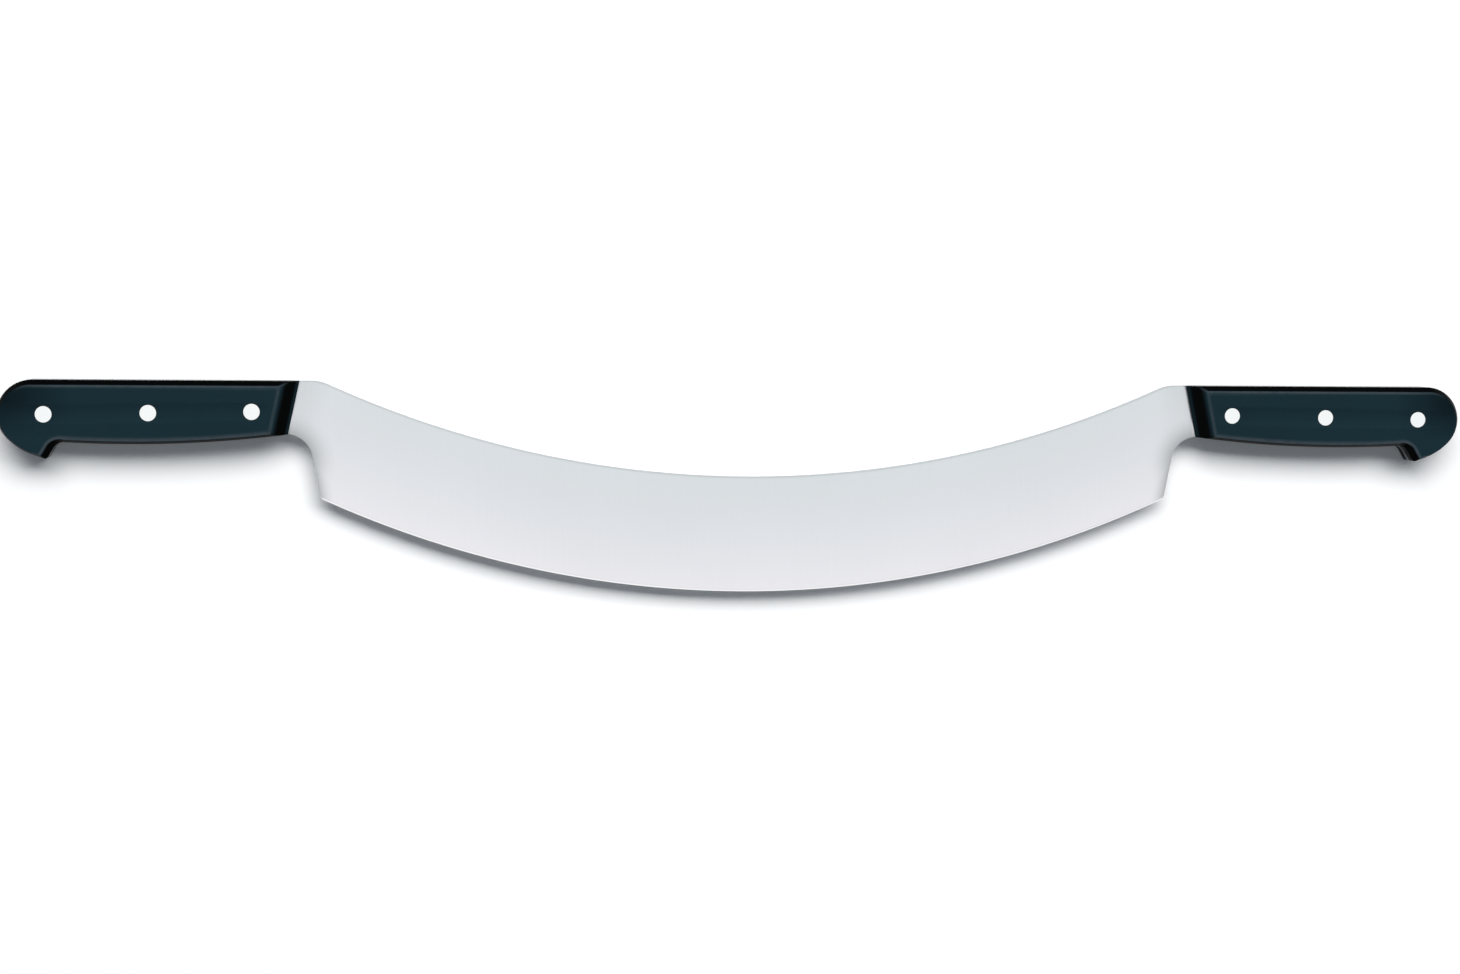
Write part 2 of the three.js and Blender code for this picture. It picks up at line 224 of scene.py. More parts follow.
class HandleSettings(bpy.types.PropertyGroup):
    """Sizes and colours of the scales."""

    long: length("Length", 0.1287, "Front of the handle to the round end")
    rake: angle("Front rake", 12, "Lean of the handle's front end")
    belly_radius: length("Belly radius", 0.52, "Hollow under the handle")
    belly_depth: length("Belly depth", 0.0278, "Back to the lowest point of the belly")
    belly_low: length("Belly low point", 0.072, "From the front to the belly's lowest point")
    butt_radius: length("Butt radius", 0.015, "Round end of the handle")
    butt_turn: angle("Butt turn", 134, "How far the round end turns")
    beak_radius: length("Beak radius", 0.029, "Flatter curve that leads on to the beak")
    beak_turn: angle("Beak turn", 27, "How far the flatter curve turns")
    beak_depth: length("Beak depth", 0.0345, "Back to the corner of the beak")
    beak_slope: angle("Beak slope", 60, "Slope of the beak's inner side")
    beak_rounding: length("Beak rounding", 0.0014, "How far the beak's corner is rounded")
    beak_least: length("Least beak rounding", 0.00028, "What is left of it at the face")
    hook: length("Hook radius", 0.005, "Hollow between the beak and the belly")
    thick: length("Scale thickness", 0.006, "Thickness of one scale")
    bevel_depth: length("Bevel depth", 0.002, "How far down the bevels start")
    back_bevel: length("Back bevel", 0.0023, "Width of the bevel along the back")
    belly_bevel: length("Belly bevel", 0.0011, "Width of the bevel along the belly")
    hook_bevel: length("Hook bevel", 0.0029, "Width of the bevel along the beak's inner side")
    butt_bevel: length("Butt bevel", 0.0007, "Width of the bevel round the butt")
    front_bevel: length("Front bevel", 0.0072, "Long bevel that slopes to the blade")
    front_wall: length("Front wall", 0.0015, "Upright wall below the long bevel")
    soft: length("Softening", 0.00042, "Height of the rounding under the face")
    front_soft: length("Front softening", 0.0007, "The same along the front end")
    # Width of the rubbed line's painted highlight over the face
    highlight_width: length("Worn width", 0.0006, "How far the rubbed line reaches over the face")
    crease: length("Crease", 0.0004, "Radius between the walls and the bevels")
    slate: colour("Slate", (0.0096, 0.0246, 0.0322), "Satin face of the scales")
    # Near-black bevels: partly their polish, partly painted shade for their darker reflection
    polished_and_shaded: colour("Dark", (0.0005, 0.0007, 0.0008), "Polished bevels")
    # Painted highlight: a lighter colour along the rubbed line
    worn: colour("Worn", (0.044, 0.059, 0.069), "Rubbed line between the bevels and the face")


class RivetSettings(bpy.types.PropertyGroup):
    """Sizes and colour of the rivets."""

    neck_inset: length("Neck inset", 0.0205, "From the handle's front to the first rivet")
    butt_inset: length("Butt inset", 0.0198, "From the round end to the last rivet")
    depth: length("Depth", 0.0135, "Back of the handle to the first rivet")
    drop: length("Drop", 0.0007, "Each rivet lies this much lower than the last")
    head: length("Head diameter", 0.0073, "Diameter of the heads")
    head_thick: length("Head thickness", 0.0016, "Thickness of the heads")
    recess: length("Recess", 0.00005, "How far the heads lie below the face")
    socket: length("Socket diameter", 0.005, "Outside diameter of the socket")
    post: length("Post diameter", 0.0032, "Diameter of the post")
    post_gap: length("Post end gap", 0.001, "Space in the socket beyond the post")
    socket_gap: length("Socket end gap", 0.0006, "Space between the socket and the head")
    clearance: length("Clearance", 0.0001, "Radial gap of a rivet in its hole")
    seat_gap: length("Seat gap", 0.00005, "Gap under a head on its seat")
    rim: length("Head rim", 0.00025, "Rounding of a head's rim")
    steel: colour("Rivet steel", (0.95, 0.985, 0.985), "Polished rivet heads")


class StageSettings(bpy.types.PropertyGroup):
    """The plain studio."""

    floor: colour("Floor", (0.97, 0.97, 0.97), "Pale floor")
    floor_size: length("Floor size", 12.0, "Side of the square floor")
    floor_lift: FloatProperty(
        name="Floor lift", description="What the camera sees added to the floor", default=0.07,
        min=0.0, max=1.0,
    )
    key_wide: length("Key light width", 12.0, "Soft light behind the spine, along the knife")
    key_tall: length("Key light height", 4.6, "Soft light behind the spine, across the knife")
    key_power: FloatProperty(
        name="Key power", description="Power of the soft light", default=1060.0, unit="POWER",
    )
    fill: colour("Fill", (0.08, 0.1, 0.118), "Cool light from all round")
    lens: FloatProperty(
        name="Lens", description="Focal length on a 36 mm wide frame", default=65.908,
        subtype="DISTANCE_CAMERA",
    )


# Plane geometry


def polar(centre, radius, turn):
    """The point at an angle and a distance from a centre."""
    return np.asarray(centre) + radius * np.array([math.cos(turn), math.sin(turn)])


def direction(turn):
    return polar((0.0, 0.0), 1.0, turn)


def cross(a, b):
    return a[0] * b[1] - a[1] * b[0]


def turn_to(centre, point):
    return math.atan2(point[1] - centre[1], point[0] - centre[0])


def arc(centre, radius, start, stop, steps, last_radius=None):
    """Circle points: the angle runs evenly from start to stop, and the radius to last_radius."""
    share = np.linspace(0.0, 1.0, steps + 1)
    turn = start + (stop - start) * share
    reach = radius + ((radius if last_radius is None else last_radius) - radius) * share
    return np.stack([centre[0] + reach * np.cos(turn), centre[1] + reach * np.sin(turn)], 1)


def straight(start, stop, steps):
    """Evenly spaced points from start to stop."""
    share = np.linspace(0.0, 1.0, steps + 1)[:, None]
    return (1 - share) * start + share * stop


def rounded(corner, before, after, cut, steps):
    """Quadratic curve through a corner: it starts and ends a distance cut from it."""
    share = np.linspace(0.0, 1.0, steps + 1)[:, None]
    start, stop = corner + cut * before, corner + cut * after
    return (1 - share) ** 2 * start + 2 * share * (1 - share) * corner + share**2 * stop


def meet_circle(point, along, centre, radius, last):
    """Where a line meets a circle: half the linear term, less or plus the root."""
    offset = point - centre
    half = offset @ along
    root = math.sqrt(half * half - offset @ offset + radius * radius)
    return point + along * (root - half if last else -root - half)


def meet_line(point, along, other, other_along):
    """Where two lines meet: the ratio of two cross products along the first."""
    return point + along * cross(other - point, other_along) / cross(along, other_along)


def smooth_step(value, low, high):
    """Cubic 3s^2 - 2s^3 of the share s of value between low and high."""
    share = np.clip((value - low) / (high - low), 0.0, 1.0)
    return share * share * (3 - 2 * share)


class Plan:
    """The outlines that the blade, the scales and the rivets share."""

    def __init__(self, scene):
        self.blade, self.handle = scene.knife_blade, scene.knife_handle
        self.rivet = scene.knife_rivet
        blade, handle, rivet = self.blade, self.handle, self.rivet
        self.front = blade.bare / 2
        self.bend = self.front - blade.neck
        self.heel = self.front - blade.heel
        self.back = float(self.spine_y(self.bend))
        self.rake = math.tan(handle.rake)
        self.butt = np.array([self.front + handle.long, self.back]) - handle.butt_radius
        self.butt_end = UP - handle.butt_turn
        self.beak = polar(self.butt, handle.butt_radius - handle.beak_radius, self.butt_end)
        self.beak_end = self.butt_end - handle.beak_turn
        self.beak_line = direction(self.beak_end - UP)
        self.inner_line = direction(math.pi - handle.beak_slope)
        self.inward = direction(UP - handle.beak_slope)
        low = self.back - handle.belly_depth
        self.belly = np.array([self.front + handle.belly_low, low + handle.belly_radius])
        self.beak_corner = meet_line(
            polar(self.beak, handle.beak_radius, self.beak_end), self.beak_line,
            np.array([0.0, self.back - handle.beak_depth]), np.array([1.0, 0.0]),
        )
        self.hook = meet_circle(
            self.beak_corner - self.inward * handle.hook, self.inner_line,
            self.belly, handle.belly_radius + handle.hook, False,
        )
        self.front_low = self.handle_outline(0.0, 0.0)[0]
        self.face = blade.tang / 2
        self.lift = self.face + handle.thick
        self.rise = (blade.width - self.back) / 2
        share = np.arange(len(PLACES)) / (len(PLACES) - 1)
        first, last = self.front + rivet.neck_inset, self.front + handle.long - rivet.butt_inset
        drops = rivet.depth + rivet.drop * np.arange(len(PLACES))
        self.rivets = np.stack([first + (last - first) * share, self.back - drops], 1)
        self.bore = rivet.socket / 2 + rivet.clearance

    def spine_y(self, x):
        """Height of a circle of the sweep radius over its lowest point."""
        return self.blade.sweep - np.sqrt(self.blade.sweep**2 - np.square(x))

    def edge_y(self, x):
        return self.spine_y(x) - self.blade.width

    def front_x(self, y):
        """The handle's leaning front end."""
        return self.front + (self.back - y) * self.rake

    def handle_outline(self, share, front_inset, more=0.0):
        """Anticlockwise outline from the lower front corner, under the belly and round the butt.

        Each side moves inwards by a share of its bevel's width, and a little more on the face, most
        along the belly: an arc keeps its centre and changes its radius, so all outlines match point
        for point."""
        handle = self.handle
        back = share * handle.back_bevel + more
        belly = share * handle.belly_bevel + BELLY_GLOW * more
        hook, butt = share * handle.hook_bevel + more, share * handle.butt_bevel + more
        swell = handle.beak_radius - butt
        top = np.array([self.front + front_inset + back * self.rake, self.back - back])
        down = np.array([self.rake, -1.0]) / math.hypot(self.rake, 1.0)
        low = meet_circle(top, down, self.belly, handle.belly_radius - belly, True)
        corner = meet_line(
            polar(self.beak, swell, self.beak_end), self.beak_line,
            self.beak_corner + self.inward * hook, self.inner_line,
        )
        cut = handle.beak_rounding + min(share, 1.0) * (handle.beak_least - handle.beak_rounding)
        hollow = arc(self.hook, handle.hook + belly, turn_to(self.hook, self.belly),
                     UP - handle.beak_slope, HOOK_STEPS, handle.hook + hook)
        tip = rounded(corner, self.inner_line, -self.beak_line, cut, TIP_STEPS)
        end = arc(self.butt, handle.butt_radius - butt, self.butt_end, UP, BUTT_STEPS,
                  handle.butt_radius - back)
        return np.concatenate([
            arc(self.belly, handle.belly_radius - belly, turn_to(self.belly, low),
                turn_to(self.belly, self.hook), BELLY_STEPS),
            hollow[1:],
            straight(hollow[-1], tip[0], INNER_STEPS)[1:-1],
            tip,
            arc(self.beak, swell, self.beak_end, self.butt_end, SWELL_STEPS),
            end[1:],
            straight(end[-1], top, BACK_STEPS)[1:],
            straight(top, low, FRONT_STEPS)[1:-1],
        ])

    def choil(self):
        """The hollow's centre, its arc from the heel's side to the handle, and the line to it."""
        blade = self.blade
        tilt = blade.choil_tilt
        centre = self.front_low + blade.choil_radius * np.array([math.sin(tilt), -math.cos(tilt)])
        heel = np.array([self.heel, float(self.edge_y(self.heel))])
        spread = math.acos(blade.choil_radius / math.dist(centre, heel))
        start = turn_to(centre, heel) - spread + 2 * math.pi
        curve = arc(centre, blade.choil_radius, start, turn_to(centre, self.front_low),
                    CHOIL_STEPS)
        along = (curve[0] - heel) / math.dist(curve[0], heel)
        return centre, heel, along, curve

    def chains(self):
        """Lower and upper outline of the right half of the steel, each with x growing."""
        blade = self.blade
        _, heel, along, curve = self.choil()
        tang = self.handle_outline(0.0, 0.0)
        end = int(np.argmax(tang[:, 0]))
        top = int(np.argmin(np.hypot(*(tang - [self.front, self.back]).T)))
        heel_slope = math.asin(self.heel / blade.sweep)
        bend_slope = math.asin(self.bend / blade.sweep)
        corner = np.array([self.bend, self.back])
        heel_turn = rounded(heel, -direction(heel_slope), along, blade.heel_rounding, CURVE_STEPS)
        bend_turn = rounded(corner, np.array([1.0, 0.0]), -direction(bend_slope),
                            blade.neck_rounding, CURVE_STEPS)[::-1]
        sweep = np.linspace(0.0, 1.0, SWEEP_STEPS)
        edge_x, spine_x = sweep * heel_turn[0, 0], sweep * bend_turn[0, 0]
        lower = np.concatenate([
            np.stack([edge_x, self.edge_y(edge_x)], 1), heel_turn[1:], curve, tang[1:end + 1],
        ])
        upper = np.concatenate([
            np.stack([spine_x, self.spine_y(spine_x)], 1), bend_turn[1:], tang[end:top + 1][::-1],
        ])
        return lower, upper

    def placed(self, points):
        """Points over the blade's middle plane, moved into the frame of the solids."""
        return points + [0.0, self.rise, self.lift]


# Meshes


def strip(first, second, wrap):
    """Quads between two rows of vertex numbers, closed to a ring where wrap is set."""
    near, far = (np.roll(first, -1), np.roll(second, -1)) if wrap else (first[1:], second[1:])
    near_start, far_start = (first, second) if wrap else (first[:-1], second[:-1])
    return np.stack([near_start, near, far, far_start], 1)


def make_piece(name, points, faces, material, node, marks=None):
    """A smooth mesh, with edges over 30 degrees kept sharp, that stands for a solid."""
    mesh = bpy.data.meshes.new(name)
    mesh.from_pydata(points.tolist(), [], [face for block in faces for face in block.tolist()])
    mesh.materials.append(material)
    for mark, values in (marks or {}).items():
        layer = mesh.attributes.new(mark, "FLOAT", "POINT")
        layer.data.foreach_set("value", np.asarray(values, np.float32))
    mesh.polygons.foreach_set("use_smooth", np.ones(len(mesh.polygons), bool))
    mesh.set_sharp_from_angle(angle=math.radians(30))
    if mesh.validate():
        raise RuntimeError(f"{name} has faulty faces")
    piece = bpy.data.objects.new(name, mesh)
    bpy.context.scene.collection.objects.link(piece)
    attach(piece, "root")
    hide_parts(node)
    return piece


def mirrored(points, faces, across, over):
    """The surface with x times across and z times over, and its faces still facing outwards."""
    inside_out = across * over < 0
    faces = [block[:, ::-1] if inside_out else block for block in faces]
    return points * [across, 1.0, over], faces


def filled(loops, facing):
    """Triangles of a flat outline and the holes in it, all facing one way.

    Each loop is its points and their vertex numbers, the outline first. The sign of a triangle's
    area, a cross product of two sides, tells which way it faces."""
    outlines = [points for points, _ in loops]
    corners = np.concatenate(outlines)
    numbers = np.concatenate([numbers for _, numbers in loops])
    flat = [np.pad(points, ((0, 0), (0, 1))).tolist() for points in outlines]
    triangles = np.array(tessellate_polygon(flat))
    a, b, c = np.moveaxis(corners[triangles], 1, 0)
    area = cross((b - a).T, (c - a).T) * facing
    triangles = np.where((area > 0)[:, None], triangles, triangles[:, ::-1])
    return numbers[triangles[np.abs(area) > LEAST_AREA]]


def turned(profile, centre, sides=72):
    """A profile of (radius, height) pairs turned about an upright axis.

    A radius of nought is one point, and neighbouring rings are joined by quads or a fan."""
    turn = np.linspace(0.0, 2 * math.pi, sides, endpoint=False)
    circle = np.stack([np.cos(turn), np.sin(turn)], 1)
    points, rings, faces, count = [], [], [], 0
    for radius, height in profile:
        ring = circle * radius if radius > 0 else np.zeros((1, 2))
        points.append(np.column_stack([ring + centre, np.full(len(ring), height)]))
        rings.append(np.arange(count, count + len(ring)))
        count += len(ring)
    for low, high in zip(rings, rings[1:]):
        if len(low) == 1:
            faces.append(np.stack([np.roll(high, -1), high, np.full(sides, low[0])], 1))
        elif len(high) == 1:
            faces.append(np.stack([low, np.roll(low, -1), np.full(sides, high[0])], 1))
        else:
            faces.append(strip(low, high, True))
    return np.concatenate(points), faces


# Materials


class Nodes:
    """A node tree that is written down one node at a time."""

    def __init__(self, tree):
        self.tree = tree

    def add(self, kind, settings=None, **inputs):
        """A node, its settings, and its inputs as values or as sockets to link."""
        node = self.tree.nodes.new(kind)
        for key, value in (settings or {}).items():
            setattr(node, key, value)
        for key, value in inputs.items():
            socket = self.socket(node.inputs, key)
            if isinstance(value, bpy.types.NodeSocket):
                self.tree.links.new(value, socket)
            else:
                socket.default_value = value
        return node

    @staticmethod
    def socket(sockets, key):
        """The socket with that name in lower case with underscores, or with that number."""
        if key[0] == "_":
            return sockets[int(key[1:])]
        named = [s for s in sockets if s.enabled and s.name.lower().replace(" ", "_") == key]
        if not named:
            raise KeyError(f"no socket {key}")
        return named[0]

    def math(self, operation, first, second=0.0, clamp=False):
        return self.add("ShaderNodeMath", {"operation": operation, "use_clamp": clamp},
                        _0=first, _1=second).outputs[0]

    def mix(self, factor, first, second, blend="MIX"):
        node = self.add("ShaderNodeMix", {"data_type": "RGBA", "blend_type": blend})
        for number, value in ((0, factor), (6, first), (7, second)):
            if isinstance(value, bpy.types.NodeSocket):
                self.tree.links.new(value, node.inputs[number])
            else:
                node.inputs[number].default_value = value
        return node.outputs[2]

    def ramp(self, value, low, high, to_low=0.0, to_high=1.0):
        """A value taken evenly from one range to another, and held at its ends."""
        return self.add("ShaderNodeMapRange", value=value, from_min=low, from_max=high,
                        to_min=to_low, to_max=to_high).outputs[0]

    def noise(self, value, to_low, to_high):
        """A noise, most of which lies between 0.3 and 0.7, taken to another range."""
        return self.ramp(value, 0.3, 0.7, to_low, to_high)

    def mark(self, name):
        """A value that the mesh holds at each of its points."""
        return self.add("ShaderNodeAttribute", {"attribute_name": name}).outputs["Fac"]

    def group(self, tree, **inputs):
        """A shared effect with its own values."""
        return self.add("ShaderNodeGroup", {"node_tree": tree}, **inputs).outputs

    def seen(self):
        """1 for rays from the camera alone, and 1 for those from metal or through glass as well."""
        path = self.add("ShaderNodeLightPath").outputs
        mirror = self.math("MAXIMUM", path["Is Glossy Ray"], path["Is Transmission Ray"])
        return path["Is Camera Ray"], self.math("MAXIMUM", path["Is Camera Ray"], mirror)


def group(name, inputs, outputs):
    """An empty node group with named sockets, and its two end nodes."""
    tree = bpy.data.node_groups.new(name, "ShaderNodeTree")
    for label, kind, default in inputs:
        tree.interface.new_socket(label, in_out="INPUT", socket_type=kind).default_value = default
    for label, kind in outputs:
        tree.interface.new_socket(label, in_out="OUTPUT", socket_type=kind)
    nodes = Nodes(tree)
    return tree, nodes, nodes.add("NodeGroupInput").outputs, nodes.add("NodeGroupOutput").inputs


def grain_group():
    """Fine lines along one direction: noise on stretched object coordinates, in two sizes."""
    name = "ground grain"
    if name in bpy.data.node_groups:
        return bpy.data.node_groups[name]
    tree, nodes, given, result = group(
        name,
        [("Stretch", "NodeSocketVector", (1.0, 1.0, 1.0)), ("Fine", "NodeSocketFloat", 2.0)],
        [("Lines", "NodeSocketFloat"), ("Cloud", "NodeSocketFloat")],
    )
    where = nodes.add("ShaderNodeTexCoord").outputs["Object"]
    spread = nodes.add("ShaderNodeVectorMath", {"operation": "MULTIPLY"}, _0=where,
                       _1=given["Stretch"]).outputs[0]
    lines = nodes.add("ShaderNodeTexNoise", vector=spread, scale=1.0, detail=given["Fine"],
                      roughness=0.6)
    cloud = nodes.add("ShaderNodeTexNoise", vector=where, scale=18.0, detail=2.0, roughness=0.5)
    tree.links.new(lines.outputs[0], result["Lines"])
    tree.links.new(cloud.outputs[0], result["Cloud"])
    return tree


def rubbed_highlight_group():
    """Painted highlight on rubbed edges: the piece's own edge mark, broken up by a fine noise."""
    name = "rubbed edge"
    if name in bpy.data.node_groups:
        return bpy.data.node_groups[name]
    tree, nodes, given, result = group(
        name,
        [("Amount", "NodeSocketFloat", 1.0), ("Scale", "NodeSocketFloat", 300.0)],
        [("Worn", "NodeSocketFloat")],
    )
    where = nodes.add("ShaderNodeTexCoord").outputs["Object"]
    noise = nodes.add("ShaderNodeTexNoise", vector=where, scale=given["Scale"], detail=3.0)
    patchy = nodes.math("MULTIPLY", nodes.mark("edge_mark"),
                        nodes.noise(noise.outputs[0], 0.65, 1.0))
    worn = nodes.math("MULTIPLY", patchy, given["Amount"], True)
    tree.links.new(worn, result["Worn"])
    return tree


def new_material(name):
    """An empty material, its node writer and its output node."""
    material = bpy.data.materials.new(name)
    material.use_nodes = True
    material.node_tree.nodes.clear()
    nodes = Nodes(material.node_tree)
    return material, nodes, nodes.add("ShaderNodeOutputMaterial").inputs["Surface"]


def rgba(values):
    return (*values, 1.0)


def steel_material(blade):
    """Satin steel, ground across its length, with a painted glint on the polished cutting edge,
    painted shade on the rounded choil, the spine's rim and the necks, and an unpolished tang.
    """
    material, nodes, surface = new_material("satin blade steel")
    grain = nodes.group(grain_group(), stretch=GRIND_LINES, fine=3.0)
    # Painted glint along the polished cutting edge, which also lowers the roughness there
    polish_glint = nodes.mark("edge_mark")
    tone = nodes.math("ADD", nodes.noise(grain["Lines"], 0.985, 1.01),
                      nodes.noise(grain["Cloud"], -0.01, 0.01))
    satin = nodes.mix(nodes.mark("grind"), rgba(blade.steel), rgba(blade.fine))
    # Painted shade on the rounded choil and along the spine's rim
    satin = nodes.mix(nodes.mark("rounding"), satin, rgba(blade.rounded))
    # Unpolished tang, and painted shade on the necks near the handles
    satin = nodes.mix(nodes.mark("tang"), satin, rgba(blade.dull_and_neck_shade))
    base = nodes.mix(1.0, satin, tone, "MULTIPLY")
    base = nodes.mix(polish_glint, base, rgba(blade.polish_glint))
    rough = nodes.math("SUBTRACT", nodes.noise(grain["Lines"], 0.3, 0.36),
                       nodes.math("MULTIPLY", polish_glint, 0.12))
    bump = nodes.add("ShaderNodeBump", strength=0.05, distance=0.00002, height=grain["Lines"])
    shader = nodes.add("ShaderNodeBsdfPrincipled", base_color=base, metallic=1.0, roughness=rough,
                       normal=bump.outputs[0])
    nodes.tree.links.new(shader.outputs[0], surface)
    return material


def rivet_material(rivet):
    """Bright rivet steel with faint ground lines."""
    material, nodes, surface = new_material("polished rivet steel")
    grain = nodes.group(grain_group(), stretch=RIVET_LINES, fine=2.0)
    base = nodes.mix(1.0, rgba(rivet.steel), nodes.noise(grain["Lines"], 0.96, 1.0), "MULTIPLY")
    shader = nodes.add("ShaderNodeBsdfPrincipled", base_color=base, metallic=1.0,
                       roughness=nodes.noise(grain["Lines"], 0.2, 0.28))
    nodes.tree.links.new(shader.outputs[0], surface)
    return material


def butt_shade(nodes, plan):
    """Share of the slate's colour left under the painted shade at the butt, which falls towards the
    end and the back.
    """
    where = nodes.add("ShaderNodeTexCoord").outputs["Object"]
    spot = nodes.add("ShaderNodeSeparateXYZ", vector=where).outputs
    along = nodes.math("SUBTRACT", nodes.math("ABSOLUTE", spot["X"]), float(plan.butt[0]))
    across = nodes.math("SUBTRACT", spot["Y"], float(plan.butt[1] + plan.rise))
    shade = nodes.math("MULTIPLY", nodes.ramp(along, *SHADE_ALONG),
                       nodes.ramp(across, *SHADE_ACROSS))
    return nodes.ramp(shade, 0.0, 1.0, 1.0, BUTT_SHADE)


def plastic_material(plan):
    """Moulded plastic: near-black bevels, partly polished and partly painted shade, a slate face
    with painted shade round the butt, and a painted highlight along the rubbed edges.
    """
    material, nodes, surface = new_material("moulded slate plastic")
    handle = plan.handle
    grain = nodes.group(grain_group(), stretch=MOULD_LINES, fine=3.0)
    rubbed_highlight = nodes.group(rubbed_highlight_group(), amount=0.95)
    face = nodes.mark("face_mark")
    tone = nodes.math("MULTIPLY", nodes.noise(grain["Lines"], 0.93, 1.07),
                      nodes.noise(grain["Cloud"], 0.9, 1.1))
    # Painted shade on the face round the butt
    tone = nodes.math("MULTIPLY", tone, butt_shade(nodes, plan))
    slate = nodes.mix(1.0, rgba(handle.slate), tone, "MULTIPLY")
    # Bevels darker than the face: partly polished, partly painted shade
    base = nodes.mix(face, rgba(handle.polished_and_shaded), slate)
    # Painted highlight along the rubbed edges
    base = nodes.mix(rubbed_highlight["Worn"], base, rgba(handle.worn))
    rough = nodes.math("ADD", nodes.ramp(face, 0.0, 1.0, 0.22, 0.42),
                       nodes.noise(grain["Lines"], -0.04, 0.04))
    bump = nodes.add("ShaderNodeBump", strength=0.1, distance=0.00003, height=grain["Lines"])
    shader = nodes.add("ShaderNodeBsdfPrincipled", base_color=base, roughness=rough,
                       normal=bump.outputs[0], specular_ior_level=0.03)
    nodes.tree.links.new(shader.outputs[0], surface)
    return material


# Pieces


class KNIFE_OT_blade(bpy.types.Operator):
    """Build the crescent blade with its two tangs"""

    bl_idname = "knife.blade"
    bl_label = "Crescent blade"

    def half_thickness(self, plan, x, y):
        """Half the steel's thickness over points of its plane.

        The edge bevel and the flat grind are two straight tapers from the cutting edge. The grind
        fades to the tang's face by a smooth step of the distance from the handle."""
        blade = plan.blade
        from_edge = y - plan.edge_y(x)
        bevel = np.clip(from_edge / blade.bevel, 0.0, 1.0)
        flat = np.maximum(0.0, from_edge - blade.bevel) / (blade.width - blade.bevel)
        shoulder = blade.edge + bevel * (blade.shoulder - blade.edge)
        ground = (shoulder + flat * (blade.spine - blade.shoulder)) / 2
        gap = plan.front_x(y) - np.abs(x)
        plunge = 1 - smooth_step(gap, blade.plunge_gap, blade.plunge_gap + blade.plunge)
        return ground + plunge * (plan.face - ground)

    def choil_fall(self, plan, x, y):
        """Share of the thickness left near the choil.

        It falls by a square law of the distance to the line that runs on to the heel, and of a
        share of that to the hollow's circle, over the set width, and stays whole under the
        handle."""
        blade = plan.blade
        centre, heel, along, curve = plan.choil()
        across = np.stack([np.abs(x), y], -1)
        ring = np.hypot(*np.moveaxis(across - centre, -1, 0)) - blade.choil_radius
        run = np.clip((across - heel) @ along, 0.0, math.dist(heel, curve[0]))
        line = np.hypot(*np.moveaxis(across - heel - run[..., None] * along, -1, 0))
        near = np.minimum(np.maximum(ring, 0.0) * HOLLOW_SHARE, line)
        fall = np.clip(1 - near / blade.choil_fall, 0.0, 1.0) ** 2
        bare = smooth_step(plan.front_x(y) - np.abs(x), *BARE_FADE)
        return 1 - CHOIL_SHARE * fall * bare

    def grid(self, plan):
        """Stations along the knife, and the heights of the rows and of the spine at each of them.

        A row is a share of the way from the lower to the upper outline. Stations lie closer at the
        heels and necks, and bunch up at the round ends by a sine."""
        blade = plan.blade
        lower, upper = plan.chains()
        end = lower[-1, 0] - END_TRIM
        turns = [0.0, plan.heel - HEEL_LEAD, plan.front + NECK_TRAIL, end - BEAK_LEAD,
                 end - BUTT_LEAD]
        runs = [np.linspace(a, b, steps)[1:]
                for a, b, steps in zip(turns, turns[1:], (120, 110, 40, 40))]
        bunched = end - BUTT_LEAD * (1 - np.sin(np.linspace(0.0, UP, 30)[1:]))
        half = np.concatenate([[0.0], *runs, bunched])
        x = np.concatenate([-half[:0:-1], half])
        low = np.interp(np.abs(x), lower[:, 0], lower[:, 1])
        high = np.interp(np.abs(x), upper[:, 0], upper[:, 1])
        middle = np.linspace(2 * blade.bevel, blade.width - blade.bevel, 44)
        from_edge = np.concatenate([blade.bevel * EDGE_ROWS, middle,
                                    blade.width - blade.rim * SPINE_ROWS])
        y = low[:, None] + (high - low)[:, None] * from_edge / blade.width
        return x, y, high[:, None]

    def marks(self, plan, x, y, high):
        """Where the steel has its painted glint, is finer, has painted shade and is unpolished, by
        distances from its outlines.

        The glint lies on the polished edge and the painted shade on the rounded choil and the
        spine's rim. The tang is unpolished, and the neck carries a little painted shade towards the
        handle."""
        from_edge = y - plan.edge_y(x)
        # Painted shade along the spine's rim and on the rounded choil
        spine = SPINE_SHADE * (1 - smooth_step(high - y, *SPINE_FADE))
        choil_shade = (1 - self.choil_fall(plan, x, y)) / CHOIL_SHARE
        covered = np.abs(x) - plan.front_x(y)
        # Painted shade on the neck near the handle, laid on with the tang's colour
        neck = NECK_SHADE * smooth_step(covered, *NECK_FADE)
        return {
            "edge_mark": (1 - smooth_step(from_edge, *POLISH_GLINT_FADE)) * (np.abs(x) < plan.heel),
            "grind": np.clip(1 - from_edge / plan.blade.width, 0.0, 1.0) ** FINE_POWER,
            "rounding": np.maximum(choil_shade, spine),
            "tang": np.maximum(smooth_step(covered, *TANG_FADE), neck),
        }

    @staticmethod
    def window(x, y, centre, reach):
        """First and last station and row of the grid's smallest window that holds a rivet hole."""
        left = np.searchsorted(x, centre[0] - reach) - 1
        right = np.searchsorted(x, centre[0] + reach)
        part = y[left:right + 1]
        bottom = np.searchsorted(part.max(0), centre[1] - reach) - 1
        top = np.searchsorted(part.min(0), centre[1] + reach)
        return left, right, bottom, top

